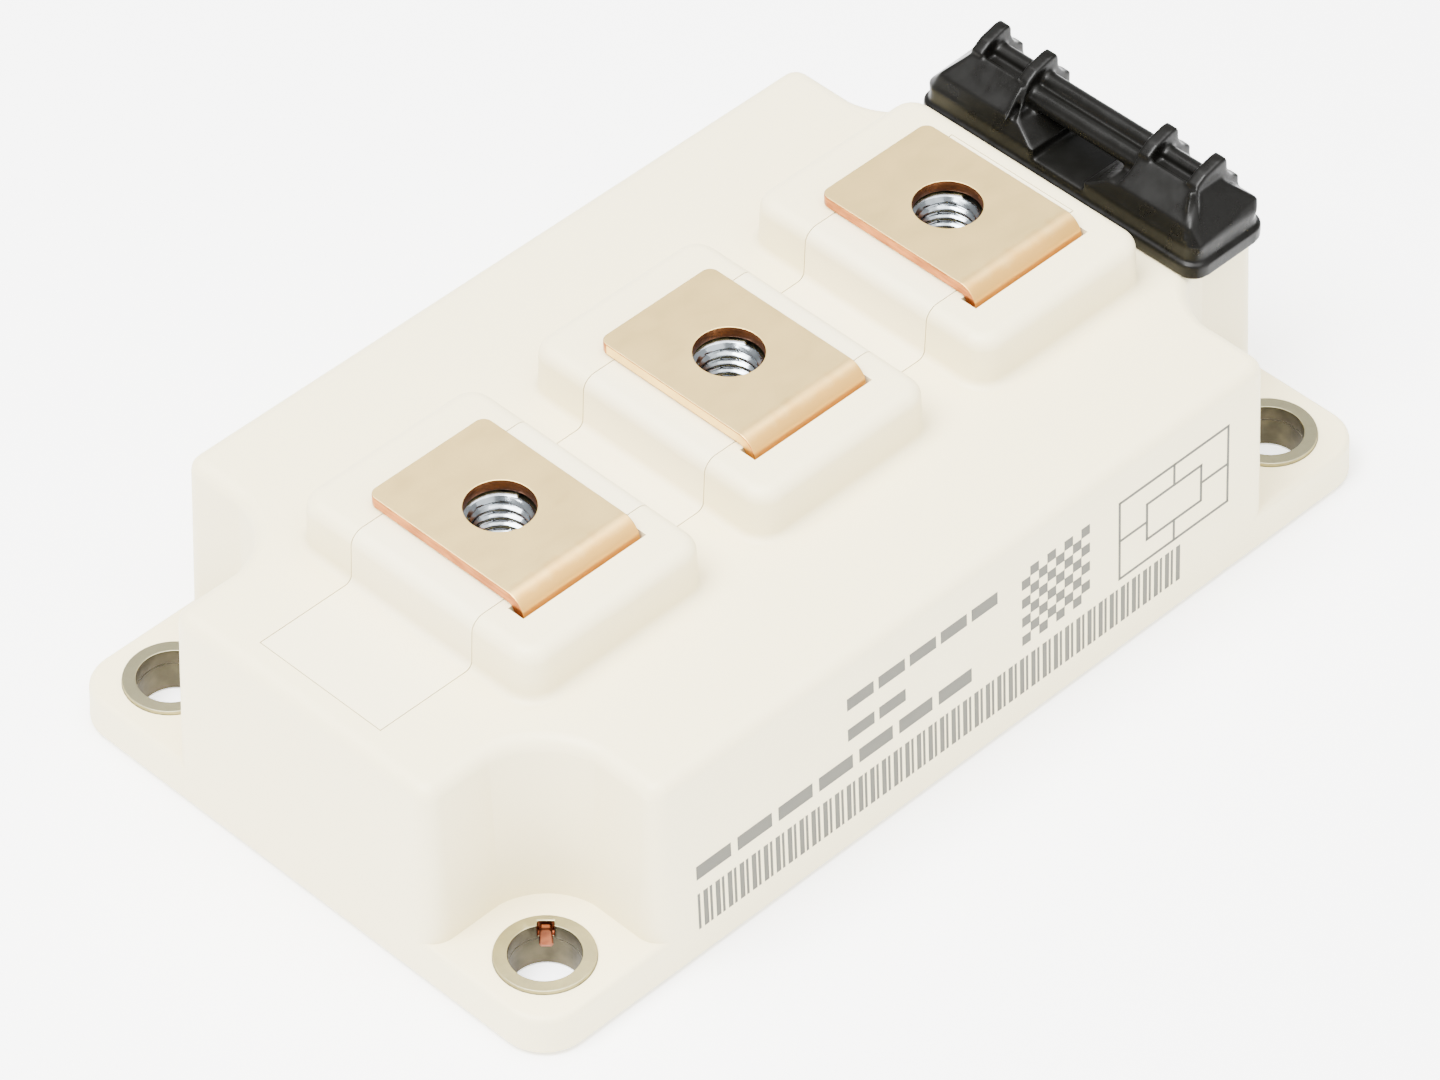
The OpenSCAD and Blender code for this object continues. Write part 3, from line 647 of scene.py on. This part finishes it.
class Marking:
    """Thin ink fields on the near wall; x and z are in millimetres on the wall."""

    def __init__(self, ink):
        self.ink = ink
        self.pieces = []

    def keep(self, name, bm):
        self.pieces.append(mesh_object(name, bm, self.ink))
        return self.pieces[-1]

    def add(self, bm, corners):
        """A closed field through these corners, half of its thickness in the wall."""
        front, back = (
            [bm.verts.new(Vector((x, wall_y(z) - lift, z)) * MM) for x, z in corners]
            for lift in (INK_THICK, -INK_THICK))
        bm.faces.new(front)
        bm.faces.new(back[::-1])
        for i in range(len(front)):
            j = (i + 1) % len(front)
            bm.faces.new((front[j], front[i], back[i], back[j]))
        bmesh.ops.recalc_face_normals(bm, faces=bm.faces)

    def strokes(self, name, paths, width):
        """Lines of the same width through each path's points."""
        bm = bmesh.new()
        for path in paths:
            for (x0, z0), (x1, z1) in zip(path, path[1:]):
                along = Vector((x1 - x0, z1 - z0)).normalized() * width / 2
                side = Vector((-along.y, along.x))
                a, b = Vector((x0, z0)) - along, Vector((x1, z1)) + along
                self.add(bm, [(a - side), (b - side), (b + side), (a + side)])
        self.keep(name, bm)

    def row(self, name, box, count, step):
        """A row of equal fields, made by the repeat tree."""
        x0, z0, x1, z1 = box
        bm = bmesh.new()
        self.add(bm, [(x0, z0), (x1, z0), (x1, z1), (x0, z1)])
        repeat(self.keep(name, bm), row_tree(), Count=count, Start=(0.0, 0.0, 0.0),
               Step=(step * MM, 0.0, 0.0), Material=self.ink)


def build_marking(finish, settings):
    """Generic marking: a strip of bars, a chequered patch, plain bands and a line figure.

    Boxes are the first field's left, foot, right and top, in millimetres on the wall.
    """
    mark = Marking(finish["ink"])
    strip_length = 61.7
    step = strip_length / settings.bar_count
    mark.row("bars_narrow", (-34.4, 3.3, -34.1, 7.5), settings.bar_count, step)
    mark.row("bars_wide", (-33.7, 3.3, -33.15, 7.5), settings.bar_count, step)
    cells, x0, z0, side = 8, 6.3, 9.0, 8.8
    cell = side / cells
    for level in range(cells):
        z = z0 + level * cell
        x = x0 + (level % 2) * cell
        mark.row("patch_row_%d" % level, (x, z, x + cell, z + cell), cells // 2, 2 * cell)
    mark.row("band_lower", (-34.4, 9.2, -30.2, 10.8), 7, 5.0)
    mark.row("band_upper", (-15.7, 16.2, -12.4, 17.6), 5, 3.9)
    mark.row("band_short", (-15.7, 12.6, -12.4, 14.0), 2, 3.9)
    mark.strokes("line_figure", [
        [(19.0, 8.6), (33.4, 8.6), (33.4, 17.6), (19.0, 17.6), (19.0, 8.6)],
        [(19.0, 13.1), (22.6, 13.1)], [(29.8, 13.1), (33.4, 13.1)],
        [(22.6, 11.0), (29.8, 11.0), (29.8, 15.2), (22.6, 15.2), (22.6, 11.0)],
        [(26.2, 8.6), (26.2, 11.0)], [(26.2, 15.2), (26.2, 17.6)],
    ], settings.line_width / MM)
    for obj in mark.pieces:
        belongs(obj, "module", "housing_plastic")


def build_studio(settings):
    """Pale floor, soft lights and the camera."""
    scene = bpy.context.scene
    world = bpy.data.worlds.new("Studio")
    scene.world = world
    world.use_nodes = True
    background = world.node_tree.nodes["Background"]
    background.inputs["Color"].default_value = WHITE
    background.inputs["Strength"].default_value = settings.sky
    bm = bmesh.new()
    bmesh.ops.create_grid(bm, x_segments=1, y_segments=1, size=FLOOR_SIZE)
    floor = mesh_object("Floor", bm, plain(
        "Floor", (0.97, 0.97, 0.97), 0.8, Emission_Color=WHITE, Emission_Strength=1.0))
    floor.location.z = -FLOOR_DROP
    for name, power, size, azimuth, elevation in LAMPS:
        lamp = bpy.data.lights.new(name, "AREA")
        lamp.energy = getattr(settings, power)
        lamp.size = size
        obj = bpy.data.objects.new(name, lamp)
        scene.collection.objects.link(obj)
        back = direction(azimuth, elevation)
        obj.location = back * LAMP_DISTANCE
        obj.rotation_euler = back.to_track_quat("Z", "Y").to_euler()
    place_camera(settings)


def direction(azimuth, elevation):
    """From the module towards the viewer; azimuth 0 looks along +Y."""
    a, e = math.radians(azimuth), math.radians(elevation)
    return Vector((math.sin(a) * math.cos(e), -math.cos(a) * math.cos(e), math.sin(e)))


def place_camera(settings):
    """The scene's camera, turned by the roll and shifted across its own view."""
    back = direction(settings.azimuth, settings.elevation)
    right = (-back).cross(Vector((0, 0, 1))).normalized()
    up = right.cross(-back)
    turn = math.radians(settings.roll)
    across = right * math.cos(turn) + up * math.sin(turn)
    upward = up * math.cos(turn) - right * math.sin(turn)
    data = bpy.data.cameras.new("Camera")
    data.sensor_width = 36.0
    data.lens = settings.lens
    data.clip_start = 0.01
    camera = bpy.data.objects.new("Camera", data)
    bpy.context.scene.collection.objects.link(camera)
    spot = back * settings.distance + across * settings.shift_x + upward * settings.shift_y
    rotation = Matrix((across, upward, back)).transposed().to_4x4()
    camera.matrix_world = Matrix.Translation(spot) @ rotation
    bpy.context.scene.camera = camera


# ---- settings ------------------------------------------------------------


def length(name, description, millimetres):
    """A length property with its default in millimetres."""
    return bpy.props.FloatProperty(
        name=name, description=description, default=millimetres * MM, min=0.0,
        unit="LENGTH", subtype="DISTANCE", precision=5)


class PM_Settings(bpy.types.PropertyGroup):
    """Sizes, camera and lights of the module's looks"""

    strip_thickness: length("Strip Thickness", "Thickness of the terminal strip", 1.2)
    strip_ease: length("Eased Edge", "Radius of the sheared and turned edges", 0.12)
    terminal_pitch: length("Terminal Pitch", "Distance between neighbouring terminals", 28.0)
    nut_height: length("Nut Height", "Thickness of a terminal nut", 5.0)
    nut_flats: length("Nut Flats", "Width of a nut across its flats", 10.0)
    nut_chamfer: length("Nut Chamfer", "Height of the chamfer on a nut's corners", 0.48)
    nut_core: length("Nut Core", "Diameter inside the nut's thread", 5.0)
    thread_pitch: length("Thread Pitch", "Rise of the nut's thread in one turn", 1.0)
    thread_depth: length("Thread Depth", "Depth of the nut's thread", 0.5)
    bushing_bore: length("Bushing Bore", "Radius of a fixing bushing's bore", 3.25)
    bushing_outer: length("Bushing Radius", "Outer radius of a fixing bushing", 4.53)
    crimp_width: length("Crimp Width", "Width of the crimp mark in a bushing's rim", 1.5)
    crimp_reach: length(
        "Crimp Reach", "From a bushing's axis to the end of its crimp mark", 3.9)
    crimp_depth: length("Crimp Depth", "Depth of the crimp mark below the rim", 1.3)
    cap_grain: length("Cap Grain", "Size of the faces that the rubber cap is made of", 0.16)
    cap_softness: bpy.props.IntProperty(
        name="Cap Softness", description="Passes that round the rubber cap's edges",
        default=10, min=0)
    fold_radius: length("Fold Radius", "Radius of the folds at the cap's corners", 0.26)
    bar_count: bpy.props.IntProperty(
        name="Bars", description="Pairs of bars in the marking's strip", default=42, min=1)
    line_width: length("Line Width", "Width of the lines in the marking's figure", 0.3)
    azimuth: bpy.props.FloatProperty(
        name="Azimuth", description="Camera's direction around the module, in degrees",
        default=-44.588)
    elevation: bpy.props.FloatProperty(
        name="Elevation", description="Camera's height over the module, in degrees",
        default=43.518)
    roll: bpy.props.FloatProperty(
        name="Roll", description="Camera's turn about its own view, in degrees", default=-0.503)
    distance: bpy.props.FloatProperty(
        name="Distance", description="From the module's base to the camera",
        default=0.634846, unit="LENGTH", subtype="DISTANCE")
    shift_x: bpy.props.FloatProperty(
        name="Camera Right", description="Camera's sideways place", default=-0.000983,
        unit="LENGTH", subtype="DISTANCE", precision=5)
    shift_y: bpy.props.FloatProperty(
        name="Camera Up", description="Camera's upward place", default=0.004343,
        unit="LENGTH", subtype="DISTANCE", precision=5)
    lens: bpy.props.FloatProperty(
        name="Lens", description="Focal length on a 36 mm sensor, in millimetres",
        default=173.66)
    sky: bpy.props.FloatProperty(
        name="Sky", description="Strength of the white surround", default=1.3)
    key: bpy.props.FloatProperty(
        name="Key", description="Power of the main light", default=26.0, unit="POWER")
    fill: bpy.props.FloatProperty(
        name="Fill", description="Power of the light on the shaded side", default=6.0,
        unit="POWER")
    top: bpy.props.FloatProperty(
        name="Top", description="Power of the overhead light", default=26.0, unit="POWER")


# ---- operators -----------------------------------------------------------


class PM_OT_finishes(bpy.types.Operator):
    """Give every solid of the module its finish"""

    bl_idname = "power_module.finishes"
    bl_label = "Finishes"

    def execute(self, context):
        dress_nodes(finishes())
        dress_base_plate(finishes(), context.scene.power_module)
        return {"FINISHED"}


class PM_OT_terminals(bpy.types.Operator):
    """Make the terminals with eased edges and their plating"""

    bl_idname = "power_module.terminals"
    bl_label = "Terminals"

    def execute(self, context):
        build_terminals(finishes(), context.scene.power_module)
        return {"FINISHED"}


class PM_OT_nuts(bpy.types.Operator):
    """Make the three threaded nuts"""

    bl_idname = "power_module.nuts"
    bl_label = "Nuts"

    def execute(self, context):
        build_nuts(finishes(), context.scene.power_module)
        return {"FINISHED"}


class PM_OT_bushings(bpy.types.Operator):
    """Make the four bushings and their crimp marks"""

    bl_idname = "power_module.bushings"
    bl_label = "Bushings"

    def execute(self, context):
        build_bushings(finishes(), context.scene.power_module)
        return {"FINISHED"}


class PM_OT_cap(bpy.types.Operator):
    """Make the soft rubber cap"""

    bl_idname = "power_module.cap"
    bl_label = "Cap"

    def execute(self, context):
        build_cap(finishes(), context.scene.power_module)
        return {"FINISHED"}


class PM_OT_marking(bpy.types.Operator):
    """Make the generic marking on the long wall"""

    bl_idname = "power_module.marking"
    bl_label = "Marking"

    def execute(self, context):
        build_marking(finishes(), context.scene.power_module)
        return {"FINISHED"}


class PM_OT_studio(bpy.types.Operator):
    """Set up the floor, the lights and the camera"""

    bl_idname = "power_module.studio"
    bl_label = "Studio"

    def execute(self, context):
        build_studio(context.scene.power_module)
        return {"FINISHED"}


class PM_PT_panel(bpy.types.Panel):
    """Buttons for each step of the module's looks"""

    bl_idname = "PM_PT_panel"
    bl_label = "Power Module"
    bl_space_type = "VIEW_3D"
    bl_region_type = "UI"
    bl_category = "Module"

    def draw(self, context):
        for operator in OPERATORS:
            self.layout.operator(operator.bl_idname)


OPERATORS = (
    PM_OT_finishes, PM_OT_terminals, PM_OT_nuts, PM_OT_bushings, PM_OT_cap, PM_OT_marking,
    PM_OT_studio,
)
CLASSES = (PM_Settings, *OPERATORS, PM_PT_panel)


def register():
    for cls in CLASSES:
        bpy.utils.register_class(cls)
    bpy.types.Scene.power_module = bpy.props.PointerProperty(type=PM_Settings)


def unregister():
    del bpy.types.Scene.power_module
    for cls in reversed(CLASSES):
        bpy.utils.unregister_class(cls)


def main():
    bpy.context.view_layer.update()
    register()
    for operator in OPERATORS:
        group, name = operator.bl_idname.split(".")
        getattr(getattr(bpy.ops, group), name)()


if __name__ == "__main__":
    main()
